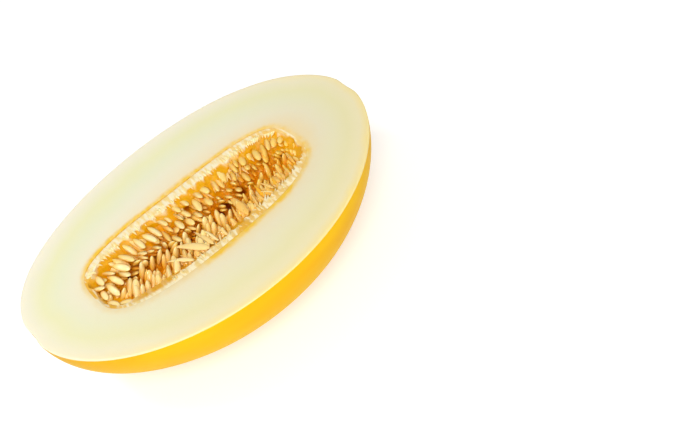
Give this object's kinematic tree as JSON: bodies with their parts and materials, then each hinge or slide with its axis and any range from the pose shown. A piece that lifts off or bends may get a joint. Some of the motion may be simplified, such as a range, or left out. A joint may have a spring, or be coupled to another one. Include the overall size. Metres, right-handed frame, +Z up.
{
  "type": "muskmelon half",
  "caption": "Yellow smooth-skinned muskmelon cut in half lengthwise, resting cut face up, with its seed hollow open and seeds standing in stringy pulp.",
  "frame": {"origin": "middle of the small flat on the belly that the half rests on, at the bottom centre of its bounding box", "axes": "+X along the fruit towards its stem end, +Y across it towards the side that the ends bend to, +Z up, square to the cut face"},
  "size_m": [0.235, 0.1476, 0.0726],
  "materials": {
    "melon": "satin",
    "pulp": "gloss",
    "seed": "gloss"
  },
  "bodies": {
    "root": {"melon_half": "melon", "seed_pulp": "pulp", "seed_far_top_01": "seed", "seed_far_top_02": "seed", "seed_far_top_03": "seed", "seed_far_top_04": "seed", "seed_far_top_05": "seed", "seed_far_top_06": "seed", "seed_far_top_07": "seed", "seed_far_top_08": "seed", "seed_far_top_09": "seed", "seed_far_middle_01": "seed", "seed_far_middle_02": "seed", "seed_far_middle_03": "seed", "seed_far_middle_04": "seed", "seed_far_middle_05": "seed", "seed_far_middle_06": "seed", "seed_far_middle_07": "seed", "seed_far_middle_08": "seed", "seed_far_middle_09": "seed", "seed_far_middle_10": "seed", "seed_far_deep_01": "seed", "seed_far_deep_02": "seed", "seed_far_deep_03": "seed", "seed_far_deep_04": "seed", "seed_far_deep_05": "seed", "seed_far_deep_06": "seed", "seed_far_deep_07": "seed", "seed_far_deep_08": "seed", "seed_far_deep_09": "seed", "seed_near_deep_01": "seed", "seed_near_deep_02": "seed", "seed_near_deep_03": "seed", "seed_near_deep_04": "seed", "seed_near_deep_05": "seed", "seed_near_deep_06": "seed", "seed_near_deep_07": "seed", "seed_near_deep_08": "seed", "seed_near_deep_09": "seed", "seed_near_deep_10": "seed", "seed_near_middle_01": "seed", "seed_near_middle_02": "seed", "seed_near_middle_03": "seed", "seed_near_middle_04": "seed", "seed_near_middle_05": "seed", "seed_near_middle_06": "seed", "seed_near_middle_07": "seed", "seed_near_middle_08": "seed", "seed_near_middle_09": "seed", "seed_near_top_01": "seed", "seed_near_top_02": "seed", "seed_near_top_03": "seed", "seed_near_top_04": "seed", "seed_near_top_05": "seed", "seed_near_top_06": "seed", "seed_near_top_07": "seed", "seed_near_top_08": "seed", "seed_near_top_09": "seed"}
  },
  "joints": []
}
